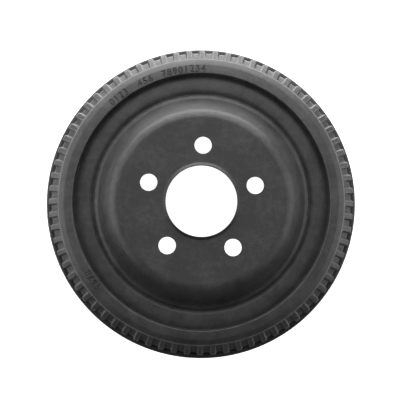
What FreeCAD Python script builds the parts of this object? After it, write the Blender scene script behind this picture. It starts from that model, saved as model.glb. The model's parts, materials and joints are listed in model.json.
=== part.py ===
import FreeCAD, Part
import math
import os

# Brake drum, one iron casting. Millimetres. Z runs along the wheel axis: the open rim that the drum
# stands on is Z 0, and the wheel face is at the top. The first wheel stud hole lies on +Y.

# Wheel face and centre bore
hub_height = 84.0
hub_plate_thickness = 8.0
bore_radius = 36.5
bore_chamfer = 1.0
collar_height = 2.4
collar_land = 0.6
collar_slope_run = 2.4
stud_count = 5
stud_circle_radius = 57.15
stud_hole_radius = 8.9
hub_corner_radius = 91.1
hub_knee_round = 9.0

# Friction ring
friction_radius = 139.7
friction_end_height = 42.0
mouth_chamfer_run = 1.6
mouth_chamfer_height = 2.6
relief_depth = 1.3
relief_width = 11.0
lip_wall = 7.9
lip_height = 59.6
lip_step = 1.2
lip_round = 0.8

# Shoulder, the crowned ring on the front of the friction ring
shoulder_width = 6.9
shoulder_height = 65.0
shoulder_fall = 0.9
shoulder_corner_run = 9.6
shoulder_round = 7.0
shoulder_wall_run = 2.4

# Web between the shoulder and the hub
web_thickness = 7.0
web_back_height = 46.0
crevice_depth = 10.5
crown_rise = 1.6
crown_setback = 14.0
crown_round = 8.0
crease_run = 4.4
crease_depth = 4.4
ledge_gap = 1.6
ledge_rise = 2.4
ledge_width = 2.8
ledge_fall = 2.0

# Cooling ribs round the outside, and the pockets between them
rib_count = 72
rib_phase_deg = 1.3
rib_height = 3.3
rib_land = 2.4
rib_edge_run = 0.9
rib_edge_drop = 0.7
rib_flank_lean_deg = 28.0
rib_flare = 10.4
rib_knee_height = 41.0
rib_draft = 0.6
rib_setback = 0.4
rib_stock = 0.4
pocket_start_depth = 5.6

# Rim flange at the open end
flange_height = 8.8
flange_width = 3.2
flange_edge_round = 1.5

# How far a cutter reaches past the metal that it cuts
cutter_reach = 2.0

# A broad round is turned as this many short flats
broad_flats = 2


def point(radius, height):
    return FreeCAD.Vector(radius, 0, height)


def corner(radius, height, corner_round=0, flats=1):
    """A corner of an outline: sharp, or rounded with a number of flats."""
    return point(radius, height), corner_round, flats


def outline(corners):
    """Points of a closed outline, with each rounded corner made as flats along its arc."""
    points = []
    for i, (here, corner_round, flats) in enumerate(corners):
        if corner_round == 0:
            points.append(here)
            continue
        to_before = (corners[i - 1][0] - here).normalize()
        to_after = (corners[(i + 1) % len(corners)][0] - here).normalize()
        half_angle = to_before.getAngle(to_after) / 2
        to_tangent = corner_round / math.tan(half_angle)
        to_arc = corner_round / math.sin(half_angle) - corner_round
        inward = (to_before + to_after).normalize()
        arc = Part.Arc(here + to_before * to_tangent, here + inward * to_arc, here + to_after * to_tangent)
        points += arc.toShape().discretize(flats + 1)
    return points + points[:1]


def radius_at(height, low, high):
    """Radius where the line through two (radius, height) points meets a height."""
    share = (height - low[1]) / (high[1] - low[1])
    return low[0] + share * (high[0] - low[0])


# Places that more than one feature uses
lip_radius = friction_radius + lip_wall
lip_foot_height = lip_height - lip_step
rib_start = (lip_radius + rib_setback, lip_foot_height)
rib_knee = (lip_radius + rib_flare, rib_knee_height)
rib_end = (rib_knee[0] + rib_draft, flange_height)
stock_radius = rib_end[0] + rib_stock
flange_radius = rib_end[0] + flange_width
hub_seat_height = hub_height - hub_plate_thickness
shoulder_radius = friction_radius - shoulder_width
web_height = shoulder_height - crevice_depth
crevice_radius = shoulder_radius - shoulder_wall_run
crown = (crevice_radius - crown_setback, web_height + crown_rise)
crease = (crown[0] - crease_run, crown[1] - crease_depth)
ledge_foot = (crease[0] - ledge_gap, crease[1] + ledge_rise)
ledge_head = (ledge_foot[0] - ledge_width, ledge_foot[1] + ledge_fall)
axis = FreeCAD.Vector(0, 0, 1)
origin = FreeCAD.Vector(0, 0, 0)


def inside_of_flank():
    """Inner corners of the hub's flank, one web thickness inside its outer face."""
    along = (point(*ledge_head) - point(hub_corner_radius, hub_height)).normalize()
    inward = FreeCAD.Vector(along.z, 0, -along.x)
    shift = inward * web_thickness
    top = (hub_corner_radius + shift.x, hub_height + shift.z)
    foot = (ledge_head[0] + shift.x, ledge_head[1] + shift.z)
    return radius_at(hub_seat_height, foot, top), radius_at(web_back_height, foot, top)


def drum_blank():
    """The turned form of the casting, with the ribs still a plain band."""
    seat_edge, web_edge = inside_of_flank()
    collar_top = hub_height + collar_height
    collar_crest = bore_radius + collar_land
    shoulder_corner = shoulder_radius + shoulder_corner_run
    front = [
        corner(bore_radius, collar_top),
        corner(collar_crest, collar_top),
        corner(collar_crest + collar_slope_run, hub_height),
        corner(hub_corner_radius, hub_height, hub_knee_round, broad_flats),
        corner(*ledge_head),
        corner(*ledge_foot),
        corner(*crease),
        corner(*crown, crown_round),
        corner(crevice_radius, web_height),
        corner(shoulder_radius, shoulder_height),
        corner(shoulder_corner, shoulder_height - shoulder_fall, shoulder_round, broad_flats),
        corner(lip_radius, lip_height, lip_round),
        corner(lip_radius, lip_foot_height),
        corner(stock_radius, lip_foot_height),
        corner(stock_radius, flange_height),
        corner(flange_radius, flange_height, flange_edge_round),
        corner(flange_radius, 0),
    ]
    back = [
        corner(friction_radius + mouth_chamfer_run, 0),
        corner(friction_radius, mouth_chamfer_height),
        corner(friction_radius, friction_end_height),
        corner(friction_radius + relief_depth, friction_end_height + relief_width),
        corner(shoulder_radius + shoulder_wall_run, web_back_height),
        corner(web_edge, web_back_height),
        corner(seat_edge, hub_seat_height),
        corner(bore_radius + bore_chamfer, hub_seat_height),
        corner(bore_radius, hub_seat_height + bore_chamfer),
    ]
    section = Part.Face(Part.makePolygon(outline(front + back)))
    return section.revolve(origin, axis, 360)


def rib_gap():
    """The gap between two ribs, on +Y: a section swept up the flared crest and down the straight one."""
    knee_radius, knee_height = rib_knee
    half_gap = knee_radius * math.tan(math.pi / rib_count) - rib_land / 2
    edge_slope = rib_edge_run / rib_edge_drop
    flank_slope = math.tan(math.radians(rib_flank_lean_deg))
    below_edge = rib_height + cutter_reach - rib_edge_drop
    side = [
        (half_gap + cutter_reach * edge_slope, knee_radius + cutter_reach),
        (half_gap - rib_edge_run, knee_radius - rib_edge_drop),
        (half_gap - rib_edge_run - below_edge * flank_slope, knee_radius - rib_edge_drop - below_edge),
    ]
    left = [FreeCAD.Vector(-x, y, knee_height) for x, y in side]
    right = [FreeCAD.Vector(x, y, knee_height) for x, y in reversed(side)]
    section = Part.Face(Part.makePolygon(left + right + left[:1]))
    top = lip_height + cutter_reach
    to_top = FreeCAD.Vector(0, radius_at(top, rib_knee, rib_start) - knee_radius, top - knee_height)
    to_flange = FreeCAD.Vector(0, rib_end[0] - knee_radius, rib_end[1] - knee_height)
    return section.extrude(to_top).fuse(section.extrude(to_flange))


def clear_of(metal_line, half_width):
    """Block on +Y of all that lies outside a line of (radius, height) points, lip to flange."""
    outside = stock_radius + rib_stock
    corners = [(outside, metal_line[-1][1]), (outside, metal_line[0][1])]
    points = [FreeCAD.Vector(-half_width, radius, height) for radius, height in metal_line + corners]
    face = Part.Face(Part.makePolygon(points + points[:1]))
    return face.extrude(FreeCAD.Vector(2 * half_width, 0, 0))


def round_the_rim(cutter, start_deg, count):
    """Copies of a cutter on +Y, evenly spaced from a start angle."""
    copies = []
    for i in range(count):
        copy = cutter.copy()
        copy.rotate(origin, axis, start_deg + i * 360 / count)
        copies.append(copy)
    return copies


def brake_drum():
    pitch_deg = 360 / rib_count
    half_width = stock_radius * math.tan(math.pi / rib_count) + rib_stock
    above_foot = lip_foot_height + rib_stock / 2
    crest_line = [(radius_at(above_foot, rib_knee, rib_start), above_foot), rib_knee, rib_end]
    floor_start = (rib_start[0], lip_foot_height - pocket_start_depth)
    floor_line = [
        (rib_start[0], above_foot),
        floor_start,
        (rib_knee[0] - rib_height, rib_knee[1]),
        (rib_end[0] - rib_height, rib_end[1]),
    ]
    crest = clear_of(crest_line, half_width)
    pocket = rib_gap().common(clear_of(floor_line, half_width))
    hole_foot = FreeCAD.Vector(0, stud_circle_radius, hub_seat_height - cutter_reach)
    hole = Part.makeCylinder(stud_hole_radius, hub_plate_thickness + 2 * cutter_reach, hole_foot)
    cutters = round_the_rim(crest, rib_phase_deg, rib_count)
    cutters += round_the_rim(pocket, rib_phase_deg + pitch_deg / 2, rib_count)
    cutters += round_the_rim(hole, 0, stud_count)
    return drum_blank().cut(cutters).removeSplitter()


os.makedirs("parts", exist_ok=True)
brake_drum().exportStep("parts/brake_drum.step")
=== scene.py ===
import json
import math

import bmesh
import bpy
from mathutils import Matrix, Vector, noise


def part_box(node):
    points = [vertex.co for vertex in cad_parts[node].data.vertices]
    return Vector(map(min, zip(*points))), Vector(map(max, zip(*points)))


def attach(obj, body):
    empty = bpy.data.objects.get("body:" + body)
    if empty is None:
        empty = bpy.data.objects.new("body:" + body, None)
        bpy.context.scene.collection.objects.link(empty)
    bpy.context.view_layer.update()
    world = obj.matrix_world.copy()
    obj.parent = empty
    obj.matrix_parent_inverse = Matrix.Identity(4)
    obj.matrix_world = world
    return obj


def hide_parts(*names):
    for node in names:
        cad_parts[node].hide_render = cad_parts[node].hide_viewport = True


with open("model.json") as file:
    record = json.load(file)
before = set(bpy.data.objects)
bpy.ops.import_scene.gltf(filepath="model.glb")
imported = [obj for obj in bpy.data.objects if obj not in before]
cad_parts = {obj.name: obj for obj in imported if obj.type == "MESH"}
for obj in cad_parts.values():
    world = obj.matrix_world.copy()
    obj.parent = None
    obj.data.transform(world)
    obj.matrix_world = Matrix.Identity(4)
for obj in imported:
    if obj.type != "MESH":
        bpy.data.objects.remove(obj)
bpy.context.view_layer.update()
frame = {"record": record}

# The drum casting: one piece of grey iron, sand cast with its ribs and then turned on the wheel face, in the
# bore and inside the ring. The wheel studs pass through its five holes, and the wheel clamps it to the axle
# flange. Sizes are in millimetres, from the mounts in the record or else read off the photograph.
MM = 0.001
mounts = {mount["name"]: mount for mount in frame["record"]["mounts"]}
drum_low, drum_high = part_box("brake_drum")
rim_radius = min(drum_high.x, drum_high.y, -drum_low.x, -drum_low.y) / MM
hub_height = mounts["wheel_face"]["pos_m"][2] / MM
seat_height = mounts["axle_flange_seat"]["pos_m"][2] / MM
bore_radius = mounts["pilot_bore"]["dims"]["r_mm"]
stud_count = mounts["stud_holes"]["dims"]["count"]
stud_circle_radius = mounts["stud_holes"]["dims"]["pcd_mm"] / 2
stud_hole_radius = mounts["stud_holes"]["dims"]["hole_r_mm"]
friction_radius = mounts["friction_surface"]["dims"]["r_mm"]

hub_corner_radius = 91.1
hub_corner_reach = 5.8
inner_flank_top_radius = 87.7
flat_margin = 0.5
collar_height = 2.4
collar_land = 0.6
collar_slope_run = 2.4
edge_break = 0.15
lip_radius = 147.6
lip_foot_height = 58.4
flange_height = 8.8
flange_edge_round = 1.9
mouth_chamfer_run = 1.6
mouth_chamfer_height = 2.6
friction_end_height = 42.0
relief_depth = 1.3
web_back_height = 46.0
bore_chamfer = 1.0

RIBS = 72
rib_phase = math.radians(1.3)
rib_start_radius = 148.0
rib_knee_radius = 158.0
rib_knee_height = 41.0
rib_end_radius = 158.6
rib_height = 3.0
rib_land = 4.2
rib_foot_width = 8.4
knee_blend = 2.2
pocket_start_height = 56.3
flange_fillet = 1.0
cast_unevenness = 0.2
cast_swell_size = 9.0

COLUMNS_PER_RIB = 16
COLUMNS_PER_RIB_ELSEWHERE = 4
COLUMN_EVENNESS = 0.64
HOLE_COLUMNS = 48
ARC_STEP = math.radians(11)
MERGE_DISTANCE = 1e-6
BARE_IRON_MARGIN = 1.5


def add_outline(mesh, corners):
    """Adds a line through (radius, height, reach) corners, each rounded along its sides for its reach."""
    points = [Vector((radius * MM, 0, height * MM)) for radius, height, reach in corners]
    verts = [mesh.verts.new(point) for point in points]
    for pair in zip(verts, verts[1:]):
        mesh.edges.new(pair)
    for before, here, after, vert, corner in zip(points, points[1:], points[2:], verts[1:], corners[1:]):
        reach = corner[2]
        if reach == 0:
            continue
        bmesh.ops.bevel(
            mesh,
            geom=[vert],
            affect="VERTICES",
            offset_type="OFFSET",
            offset=reach * MM,
            segments=max(2, math.ceil((here - before).angle(after - here) / ARC_STEP)),
            profile=0.5,
            material=-1,
        )


def turned(corners, columns, centre=(0, 0, 0)):
    """A mesh spun about a vertical line through a centre, from (radius, height, reach) corners."""
    mesh = bmesh.new()
    add_outline(mesh, corners)
    bmesh.ops.translate(mesh, verts=mesh.verts, vec=centre)
    bmesh.ops.spin(
        mesh,
        geom=mesh.verts[:] + mesh.edges[:],
        cent=centre,
        axis=(0, 0, 1),
        angle=2 * math.pi,
        steps=columns,
        use_merge=True,
    )
    return mesh


def add_mesh(target, source):
    """Adds a bmesh to another, and frees it."""
    made = bpy.data.meshes.new("made")
    source.to_mesh(made)
    source.free()
    target.from_mesh(made)
    bpy.data.meshes.remove(made)


def rims_at(mesh, height):
    """Open edges of a mesh that lie in a plane at a height."""
    return [
        edge
        for edge in mesh.edges
        if edge.is_boundary and all(abs(vert.co.z - height * MM) < MERGE_DISTANCE for vert in edge.verts)
    ]


front_outline = [
    (hub_corner_radius - hub_corner_reach - flat_margin, hub_height, 0),
    (hub_corner_radius, hub_height, hub_corner_reach),
    (106.2, 61.0, 0.9),
    (109.9, 58.3, 0.5),
    (111.0, 54.3, 0.9),
    (114.2, 56.6, 1.6),
    (119.5, 57.0, 3.0),
    (127.6, 55.8, 2.2),
    (131.3, 53.9, 0.5),
    (132.6, 65.0, 0.5),
    (137.4, 64.85, 4.0),
    (142.6, 63.2, 2.8),
    (lip_radius, 59.6, 0.7),
    (lip_radius, lip_foot_height, 0),
]
back_outline = [
    (rim_radius - flange_edge_round, flange_height, 0),
    (rim_radius, flange_height, flange_edge_round),
    (rim_radius, 0.0, 0.5),
    (friction_radius + mouth_chamfer_run, 0.0, 0.3),
    (friction_radius, mouth_chamfer_height, 0.3),
    (friction_radius, friction_end_height, 0.3),
    (friction_radius + relief_depth, 53.0, 1.2),
    (135.2, web_back_height, 1.6),
    (105.4, web_back_height, 3.0),
    (inner_flank_top_radius, seat_height, 2.2),
    (inner_flank_top_radius - 4.0, seat_height, 0),
]
collar_foot_radius = bore_radius + collar_land + collar_slope_run
bore_outline = [
    (collar_foot_radius + flat_margin + 0.4, hub_height, 0),
    (collar_foot_radius, hub_height, 0.4),
    (bore_radius + collar_land, hub_height + collar_height, 0.25),
    (bore_radius, hub_height + collar_height, 0.2),
    (bore_radius, seat_height + bore_chamfer, 0),
    (bore_radius + bore_chamfer, seat_height, 0),
    (bore_radius + bore_chamfer + flat_margin, seat_height, 0),
]
stud_hole_outline = [
    (stud_hole_radius + edge_break + flat_margin, hub_height, 0),
    (stud_hole_radius + edge_break, hub_height, 0),
    (stud_hole_radius, hub_height - edge_break, 0),
    (stud_hole_radius, seat_height + edge_break, 0),
    (stud_hole_radius + edge_break, seat_height, 0),
    (stud_hole_radius + edge_break + flat_margin, seat_height, 0),
]


def soft_lower(first, second, blend):
    """The lower of two numbers, with a smooth change-over from one to the other."""
    share = min(max(0.5 + (second - first) / (2 * blend), 0), 1)
    return second + (first - second) * share - blend * share * (1 - share)


def along(height, low, high):
    """Radius at a height on the line through two (radius, height) points."""
    return low[0] + (high[0] - low[0]) * (height - low[1]) / (high[1] - low[1])


def crest_radius(height):
    """How far out the crests of the ribs stand at a height."""
    flare = along(height, (rib_knee_radius, rib_knee_height), (rib_start_radius, lip_foot_height))
    straight = along(height, (rib_end_radius, flange_height), (rib_knee_radius, rib_knee_height))
    return soft_lower(flare, straight, knee_blend)


def floor_radius(height):
    """How far out the floors of the pockets between the ribs stand at a height."""
    flare = along(
        height, (rib_knee_radius - rib_height, rib_knee_height), (rib_start_radius, pocket_start_height)
    )
    straight = along(
        height, (rib_end_radius - rib_height, flange_height), (rib_knee_radius - rib_height, rib_knee_height)
    )
    return max(soft_lower(flare, straight, knee_blend), rib_start_radius)


def smooth_step(value, low, high):
    """Goes smoothly from 0 to 1 as a value goes from low to high."""
    share = min(max((value - low) / (high - low), 0), 1)
    return share * share * (3 - 2 * share)


def shape_rib(vert):
    """Moves a vertex of the plain ribbed band to its place on the nearest rib or in the pocket beside it."""
    pitch = 2 * math.pi / RIBS
    angle = math.atan2(vert.co.y, vert.co.x)
    turns = (angle - math.pi / 2 - rib_phase) / pitch
    rib = round(turns)
    share = 2 * (turns - rib)
    # The columns stand closer on a rib than in a pocket.
    share = math.copysign(COLUMN_EVENNESS * abs(share) + (1 - COLUMN_EVENNESS) * abs(share) ** 4, share)
    angle = math.pi / 2 + rib_phase + (rib + share / 2) * pitch
    height = vert.co.z / MM
    crest = crest_radius(height)
    beside = abs(share) * pitch / 2 * rib_knee_radius
    depth = (crest - floor_radius(height)) * smooth_step(beside, rib_land / 2, rib_foot_width / 2)
    radius = crest - depth
    above_flange = max(height - flange_height, 0)
    if above_flange < flange_fillet:
        radius += flange_fillet - math.sqrt(flange_fillet**2 - (flange_fillet - above_flange) ** 2)
    if above_flange > flange_fillet and height < lip_foot_height:
        place = Vector((math.cos(angle) * radius, math.sin(angle) * radius, height))
        radius += cast_unevenness * noise.noise(place / cast_swell_size)
    vert.co.x = math.cos(angle) * radius * MM
    vert.co.y = math.sin(angle) * radius * MM


# The band's rows stand close together at the lip, the knee and the flange's fillet.
band_heights = [lip_foot_height, 57.6, 56.6, 55.6, 54.4, 52.5, 50.0, 47.0]
band_heights += [44.8, 43.2, 42.0, 41.0, 40.0, 38.8, 37.2, 34.0, 27.0, 19.0]
band_heights += [13.5, 11.5, 9.8, 9.4, 9.1, 8.9, flange_height]
band = turned([(rib_end_radius, height, 0) for height in band_heights], RIBS * COLUMNS_PER_RIB)
for vert in band.verts:
    shape_rib(vert)

casting = turned(front_outline, RIBS * COLUMNS_PER_RIB_ELSEWHERE)
add_mesh(casting, turned(back_outline, RIBS * COLUMNS_PER_RIB_ELSEWHERE))
add_mesh(casting, turned(bore_outline, RIBS * COLUMNS_PER_RIB_ELSEWHERE))
add_mesh(casting, band)
for i in range(stud_count):
    turn = Matrix.Rotation(2 * math.pi * i / stud_count, 3, "Z")
    centre = turn @ Vector((0, stud_circle_radius * MM, 0))
    add_mesh(casting, turned(stud_hole_outline, HOLE_COLUMNS, centre))
for height in (hub_height, lip_foot_height, flange_height, seat_height):
    bmesh.ops.triangle_fill(casting, edges=rims_at(casting, height), use_beauty=True, normal=(0, 0, 1))
bmesh.ops.remove_doubles(casting, verts=casting.verts, dist=MERGE_DISTANCE)
bmesh.ops.recalc_face_normals(casting, faces=casting.faces)
for face in casting.faces:
    face.smooth = True
    radius = face.calc_center_median().xy.length / MM
    height = face.calc_center_median().z / MM
    near_shoes = 0 < height < friction_end_height
    face.material_index = 1 if near_shoes and abs(radius - friction_radius) < BARE_IRON_MARGIN else 0
casting_mesh = bpy.data.meshes.new("drum_casting")
casting.to_mesh(casting_mesh)
casting.free()
drum_casting = bpy.data.objects.new("drum_casting", casting_mesh)
bpy.context.scene.collection.objects.link(drum_casting)

# The numerals on the shoulder: plain figures, counted off in four short rows. They are stamped into the iron
# with punches whose sides slope, so each figure narrows towards its floor.
NUMERAL_SIZE = 10.8
NUMERAL_NARROWING = 0.86
NUMERAL_THINNING = 0.36
STAMP_DEPTH = 0.85
STAMP_RADIUS = 136.6
STAMP_HEIGHT = 64.62
SHOULDER_SLOPE = math.radians(9)
NUMERAL_PITCH = math.radians(2.45)
FIRST_NUMERAL = math.pi / 2
SHARP_EDGE = math.radians(35)
# Each row's turn from the first stud hole, clockwise in degrees, and how many figures it holds.
stamped_rows = ((-43.6, 4), (-29.1, 3), (-18.0, 8), (228.5, 4))


def numeral(figure, angle):
    """A closed mesh of a figure on the shoulder, at an angle from the first stud hole."""
    shape = bpy.data.curves.new("numeral", "FONT")
    shape.body = figure
    shape.size = NUMERAL_SIZE * MM
    shape.align_x = "CENTER"
    shape.align_y = "CENTER"
    shape.resolution_u = 3
    shape.offset = -NUMERAL_THINNING * MM
    shape.bevel_depth = STAMP_DEPTH * MM
    shape.bevel_resolution = 0
    holder = bpy.data.objects.new("numeral", shape)
    made = bpy.data.meshes.new_from_object(holder)
    mesh = bmesh.new()
    mesh.from_mesh(made)
    bpy.data.meshes.remove(made)
    bpy.data.objects.remove(holder)
    bpy.data.curves.remove(shape)
    bmesh.ops.remove_doubles(mesh, verts=mesh.verts, dist=MERGE_DISTANCE)
    narrow = Matrix.Diagonal((NUMERAL_NARROWING, 1, 1, 1))
    upright = Matrix.Rotation(-math.pi / 2, 4, "Z") @ Matrix.Rotation(-SHOULDER_SLOPE, 4, "X") @ narrow
    place = Matrix.Rotation(FIRST_NUMERAL - angle, 4, "Z") @ Matrix.Translation(
        (STAMP_RADIUS * MM, 0, STAMP_HEIGHT * MM)
    )
    bmesh.ops.transform(mesh, matrix=place @ upright, verts=mesh.verts)
    return mesh


numerals = bmesh.new()
count = 0
for row_start, row_length in stamped_rows:
    for i in range(row_length):
        add_mesh(numerals, numeral(str(count % 10), math.radians(row_start) + i * NUMERAL_PITCH))
        count += 1
bmesh.ops.recalc_face_normals(numerals, faces=numerals.faces)
numerals_mesh = bpy.data.meshes.new("numerals")
numerals.to_mesh(numerals_mesh)
numerals.free()
punches = bpy.data.objects.new("numerals", numerals_mesh)
bpy.context.scene.collection.objects.link(punches)
stamp = drum_casting.modifiers.new("stamp", "BOOLEAN")
stamp.operation = "DIFFERENCE"
stamp.solver = "MANIFOLD"
stamp.object = punches
casting_mesh = bpy.data.meshes.new_from_object(
    drum_casting.evaluated_get(bpy.context.evaluated_depsgraph_get())
)
drum_casting.modifiers.remove(stamp)
drum_casting.data = casting_mesh
bpy.data.objects.remove(punches)
for face in casting_mesh.polygons:
    face.use_smooth = True
casting_mesh.set_sharp_from_angle(angle=SHARP_EDGE)
flatten = drum_casting.modifiers.new("even_shading", "WEIGHTED_NORMAL")
flatten.keep_sharp = True

# The finish of the casting: a dark grey baked coat over the sand-cast skin, uneven in tone, with fine grain.
# On the wheel face the lathe's marks still show through it as faint rings. The coat is painted lighter on
# the lip, the shoulder's inner edge, the ledge at the foot of the flank and the ribs' edges and knees:
# partly wear from handling, partly painted highlight where these edges catch the light.
COAT_DARK = (0.0195, 0.0195, 0.0205, 1)
COAT_LIGHT = (0.043, 0.042, 0.043, 1)
# The lightest colour, on the edges, is partly wear and partly painted highlight.
WORN_AND_HIGHLIT_EDGE = (0.12, 0.118, 0.116, 1)
CLOUD_SIZE = 28.0
CLOUD_SHARE = 0.4
SKIN_SIZE = 6.0
SKIN_SHARE = 0.3
SKIN_RELIEF = 0.3
GRAIN_SIZE = 1.6
GRAIN_SHARE = 0.3
GRAIN_RELIEF = 0.18
TURNED_DARKER = 0.06
TURNED_SMOOTHER = 0.75
TURNING_PITCH = 1.1
TURNING_RELIEF = 0.004
TURNED_FACE_MARGIN = 0.1
COAT_ROUGHNESS = 0.40
CLOUD_ROUGHNESS = 0.10
GRAIN_ROUGHNESS = 0.08
# How the ribs' edges and knees are painted lighter: partly wear, partly painted highlight.
RIB_EDGE_WIDTH = 0.7
RIB_EDGE_WEAR_AND_HIGHLIGHT = 0.55
KNEE_EDGE_HEIGHT = 42.0
KNEE_EDGE_WIDTH = 1.8
LOWEST_WORN_AND_HIGHLIT_RIB = 37.0
LIP_MARGIN = 0.6
# Each ring's radius, the height above which it lies, its half width and its wear and painted highlight.
worn_and_highlit_rings = ((lip_radius - 0.2, 58.0, 1.1, 0.7), (132.6, 62.0, 0.8, 0.35), (109.0, 53.0, 1.3, 0.06))


class Shade:
    """A value in a material. Arithmetic on it adds Math nodes."""

    def __init__(self, tree, socket=None):
        self.tree = tree
        self.socket = socket

    def node(self, kind, settings=None, sockets=None, output=0):
        """Adds a node of a type, with its settings, then its sockets' values or links; gives one output."""
        made = self.tree.nodes.new(kind)
        for name, value in (settings or {}).items():
            if name == "stops":
                ramp = made.color_ramp
                while len(ramp.elements) < len(value):
                    ramp.elements.new(1)
                for element, (position, colour) in zip(ramp.elements, value):
                    element.position = position
                    element.color = colour
            else:
                setattr(made, name, value)
        for name, value in (sockets or {}).items():
            if isinstance(value, Shade):
                self.tree.links.new(value.socket, made.inputs[name])
            else:
                made.inputs[name].default_value = value
        return Shade(self.tree, made.outputs[output])

    def maths(self, operation, first, second=0.0):
        return self.node("ShaderNodeMath", {"operation": operation}, {0: first, 1: second})

    def __add__(self, other):
        return self.maths("ADD", self, other)

    def __radd__(self, other):
        return self.maths("ADD", other, self)

    def __sub__(self, other):
        return self.maths("SUBTRACT", self, other)

    def __rsub__(self, other):
        return self.maths("SUBTRACT", other, self)

    def __mul__(self, other):
        return self.maths("MULTIPLY", self, other)

    def __rmul__(self, other):
        return self.maths("MULTIPLY", other, self)

    def __truediv__(self, other):
        return self.maths("DIVIDE", self, other)

    def __rtruediv__(self, other):
        return self.maths("DIVIDE", other, self)

    def __gt__(self, other):
        return self.maths("GREATER_THAN", self, other)

    def __lt__(self, other):
        return self.maths("LESS_THAN", self, other)


def new_material(name):
    """A bare material: its shade to add nodes to, and its surface shader."""
    material = bpy.data.materials.new(name)
    material.use_nodes = True
    surface = material.node_tree.nodes["Principled BSDF"]
    return material, Shade(material.node_tree), surface


cast_coat, coat, surface = new_material("cast_coat")
place = coat.node("ShaderNodeTexCoord", output="Object")
noises = {}
for name, size, detail in (("grain", GRAIN_SIZE, 3.0), ("skin", SKIN_SIZE, 3.0), ("cloud", CLOUD_SIZE, 4.0)):
    noises[name] = coat.node(
        "ShaderNodeTexNoise",
        {"noise_dimensions": "3D"},
        {"Vector": place, "Scale": 1 / (size * MM), "Detail": detail, "Roughness": 0.55},
    )
split = coat.node("ShaderNodeSeparateXYZ", sockets={"Vector": place})
x, y, z = (Shade(coat.tree, output) for output in split.socket.node.outputs)
from_axis = coat.maths("SQRT", x * x + y * y)
on_seat = (z < (seat_height + TURNED_FACE_MARGIN) * MM) * (z > (seat_height - TURNED_FACE_MARGIN) * MM)
on_turned_face = (z > (hub_height - TURNED_FACE_MARGIN) * MM) + on_seat
rings = coat.maths("SINE", from_axis * (2 * math.pi / (TURNING_PITCH * MM))) * on_turned_face


def wear_and_highlight(off_edge, where, strength):
    """Lighter coat near an edge, for wear and painted highlight; off_edge is 0 on the edge, 1 where it ends.
    """
    return coat.maths("MAXIMUM", 1 - off_edge, 0.0) * where * (noises["skin"] + 0.5) * strength


tone = noises["cloud"] * CLOUD_SHARE + noises["skin"] * SKIN_SHARE + noises["grain"] * GRAIN_SHARE
tone = tone - on_turned_face * TURNED_DARKER
# Painted highlight, with some wear, in rings on the lip, the shoulder's inner edge and the ledge.
for radius, lowest, half_width, strength in worn_and_highlit_rings:
    off_ring = coat.maths("ABSOLUTE", from_axis - radius * MM) / (half_width * MM)
    tone = tone + wear_and_highlight(off_ring, z > lowest * MM, strength)
ribs_per_radian = RIBS / (2 * math.pi)
first_rib = (math.pi / 2 + rib_phase) * ribs_per_radian
rib_turn = coat.maths("ARCTAN2", y, x) * ribs_per_radian + (0.5 - first_rib)
off_rib = coat.maths("ABSOLUTE", coat.maths("FRACT", rib_turn) - 0.5)
beside_rib = off_rib * (rib_knee_radius / ribs_per_radian)
off_side = coat.maths("ABSOLUTE", beside_rib - (rib_land / 2 + RIB_EDGE_WIDTH / 2)) / RIB_EDGE_WIDTH
off_knee = coat.maths("ABSOLUTE", z - KNEE_EDGE_HEIGHT * MM) / (KNEE_EDGE_WIDTH * MM)
outside_lip = from_axis > (lip_radius + LIP_MARGIN) * MM
on_ribs = (z > LOWEST_WORN_AND_HIGHLIT_RIB * MM) * (z < lip_foot_height * MM) * outside_lip
# Painted highlight, with some wear, along the edges of the ribs and across their knees.
tone = tone + wear_and_highlight(coat.maths("MINIMUM", off_side, off_knee), on_ribs, RIB_EDGE_WEAR_AND_HIGHLIGHT)
coat_colours = [(0.4, COAT_DARK), (0.6, COAT_LIGHT), (1.0, WORN_AND_HIGHLIT_EDGE)]
colour = coat.node("ShaderNodeValToRGB", {"stops": coat_colours}, {"Fac": tone}, output="Color")
coat.tree.links.new(colour.socket, surface.inputs["Base Color"])
roughness = COAT_ROUGHNESS + noises["cloud"] * CLOUD_ROUGHNESS + noises["grain"] * GRAIN_ROUGHNESS
coat.tree.links.new(roughness.socket, surface.inputs["Roughness"])
roughcast = noises["grain"] * (GRAIN_RELIEF * MM) + noises["skin"] * (SKIN_RELIEF * MM)
relief = roughcast * (1 - on_turned_face * TURNED_SMOOTHER) + rings * (TURNING_RELIEF * MM)
bump = coat.node("ShaderNodeBump", sockets={"Strength": 1.0, "Distance": 1.0, "Height": relief})
coat.tree.links.new(bump.socket, surface.inputs["Normal"])
casting_mesh.materials[0] = cast_coat

# The friction surface: the bare iron inside the ring, turned to size and bedded by the shoes. Its fine rings
# are bright, with a thin brown bloom.
IRON_BRIGHT = (0.42, 0.41, 0.40, 1)
IRON_DULL = (0.27, 0.25, 0.235, 1)
BLOOM_SIZE = 14.0
BLOOM_DRIFT = 2.0
BLOOM_ROUGHNESS = 0.15
IRON_ROUGHNESS = 0.30
FRICTION_RING_PITCH = 0.9
FRICTION_RING_RELIEF = 0.006

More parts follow.
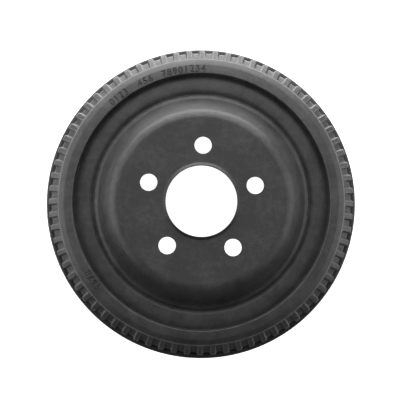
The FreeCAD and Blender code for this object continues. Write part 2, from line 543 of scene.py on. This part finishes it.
bare_iron, iron, surface = new_material("bare_iron")
place = iron.node("ShaderNodeTexCoord", output="Object")
height = iron.node("ShaderNodeSeparateXYZ", sockets={"Vector": place}, output="Z")
bloom = iron.node(
    "ShaderNodeTexNoise",
    sockets={"Vector": place, "Scale": 1 / (BLOOM_SIZE * MM), "Detail": 4.0, "Roughness": 0.6},
)
rings = iron.maths("SINE", height * (2 * math.pi / (FRICTION_RING_PITCH * MM)) + bloom * BLOOM_DRIFT)
colour = iron.node(
    "ShaderNodeValToRGB", {"stops": [(0.35, IRON_BRIGHT), (0.7, IRON_DULL)]}, {"Fac": bloom}, output="Color"
)
iron.tree.links.new(colour.socket, surface.inputs["Base Color"])
roughness = IRON_ROUGHNESS + bloom * BLOOM_ROUGHNESS
iron.tree.links.new(roughness.socket, surface.inputs["Roughness"])
relief = rings * (FRICTION_RING_RELIEF * MM)
bump = iron.node("ShaderNodeBump", sockets={"Strength": 1.0, "Distance": 1.0, "Height": relief})
iron.tree.links.new(bump.socket, surface.inputs["Normal"])
surface.inputs["Metallic"].default_value = 1.0
casting_mesh.materials.append(bare_iron)

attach(drum_casting, "root")
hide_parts("brake_drum")

# The studio: a glowing white table that the drum stands on, wheel face up, and soft lamps round it. The
# strong one is beyond the top of the picture, with a dimmer one over it and one on each side. The low lamps
# give the light that a table throws back, so the table itself is seen by the camera only.
TABLE_SIZE = 12.0
TABLE_PAINT = (0.8, 0.8, 0.8, 1)
TABLE_ROUGHNESS = 0.9
TABLE_GLOW = 1.05
WHITE_LIGHT = (1, 1, 1, 1)
LAMP_DISTANCE = 1.5
ROOM_GLOW = 0.05

table_mesh = bmesh.new()
bmesh.ops.create_grid(table_mesh, x_segments=1, y_segments=1, size=TABLE_SIZE / 2)
mesh = bpy.data.meshes.new("white_table")
table_mesh.to_mesh(mesh)
table_mesh.free()
white_table = bpy.data.objects.new("white_table", mesh)
bpy.context.scene.collection.objects.link(white_table)
table_finish, _, surface = new_material("table_finish")
surface.inputs["Base Color"].default_value = TABLE_PAINT
surface.inputs["Roughness"].default_value = TABLE_ROUGHNESS
surface.inputs["Emission Color"].default_value = WHITE_LIGHT
surface.inputs["Emission Strength"].default_value = TABLE_GLOW
mesh.materials.append(table_finish)
white_table.visible_diffuse = False
white_table.visible_glossy = False
white_table.visible_shadow = False


def softbox(name, turn, rise, width, height, power):
    """A lamp that faces the drum, turned from the right of the picture and raised, both in degrees."""
    light = bpy.data.lights.new(name, "AREA")
    light.shape = "RECTANGLE"
    light.size = width
    light.size_y = height
    light.energy = power
    lamp = bpy.data.objects.new(name, light)
    bpy.context.scene.collection.objects.link(lamp)
    raised = Matrix.Rotation(math.radians(-rise), 3, "Y")
    outward = Matrix.Rotation(math.radians(turn), 3, "Z") @ raised @ Vector((LAMP_DISTANCE, 0, 0))
    lamp.location = outward
    lamp.rotation_euler = (-outward).to_track_quat("-Z", "Y").to_euler()
    lamp.visible_camera = False


softbox("back_lamp", 94, 0, 2.6, 1.3, 72)
softbox("upper_back_lamp", 90, 45, 1.6, 1.1, 19)
softbox("left_lamp", 180, 28, 1.4, 1.0, 13.5)
softbox("right_lamp", 0, 28, 1.4, 1.0, 10)
softbox("low_left_lamp", 180, -15, 1.4, 0.7, 10)
softbox("low_right_lamp", 0, -15, 1.4, 0.7, 9)
softbox("low_back_lamp", 90, -50, 1.3, 0.8, 9)
softbox("front_lamp", 270, -15, 1.5, 0.8, 1.5)
softbox("overhead_lamp", 90, 80, 1.0, 1.0, 1.8)

world = bpy.data.worlds.new("studio")
world.use_nodes = True
world.node_tree.nodes["Background"].inputs["Color"].default_value = WHITE_LIGHT
world.node_tree.nodes["Background"].inputs["Strength"].default_value = ROOM_GLOW
bpy.context.scene.world = world
bpy.context.scene.view_settings.view_transform = "Standard"

# The camera: a long lens almost straight above the wheel face, tipped 2.2 degrees towards the bottom of the
# picture, with the first stud hole turned 1.7 degrees clockwise from its top.
CAMERA_DISTANCE = 2.5
PIXEL_AT_FACE = 0.0010177
FRAME_PIXELS = 400
SENSOR_WIDTH = 36.0
PICTURE_TURN = math.radians(1.72)
face_centre_pixel = (201.48, 201.02)

towards_camera = Vector((-0.0059, -0.0382, 0.9992)).normalized()
picture_up = Vector((-math.sin(PICTURE_TURN), math.cos(PICTURE_TURN), 0))
picture_right = picture_up.cross(towards_camera).normalized()
picture_up = towards_camera.cross(picture_right)
aim = Vector((0, 0, hub_height * MM))
aim -= picture_right * (face_centre_pixel[0] - FRAME_PIXELS / 2) * PIXEL_AT_FACE
aim += picture_up * (face_centre_pixel[1] - FRAME_PIXELS / 2) * PIXEL_AT_FACE
lens = bpy.data.cameras.new("camera")
lens.sensor_width = SENSOR_WIDTH
lens.lens = SENSOR_WIDTH * CAMERA_DISTANCE / (FRAME_PIXELS * PIXEL_AT_FACE)
camera = bpy.data.objects.new("camera", lens)
bpy.context.scene.collection.objects.link(camera)
turn = Matrix((picture_right, picture_up, towards_camera)).transposed().to_4x4()
camera.matrix_world = Matrix.Translation(aim + towards_camera * CAMERA_DISTANCE) @ turn
bpy.context.scene.camera = camera
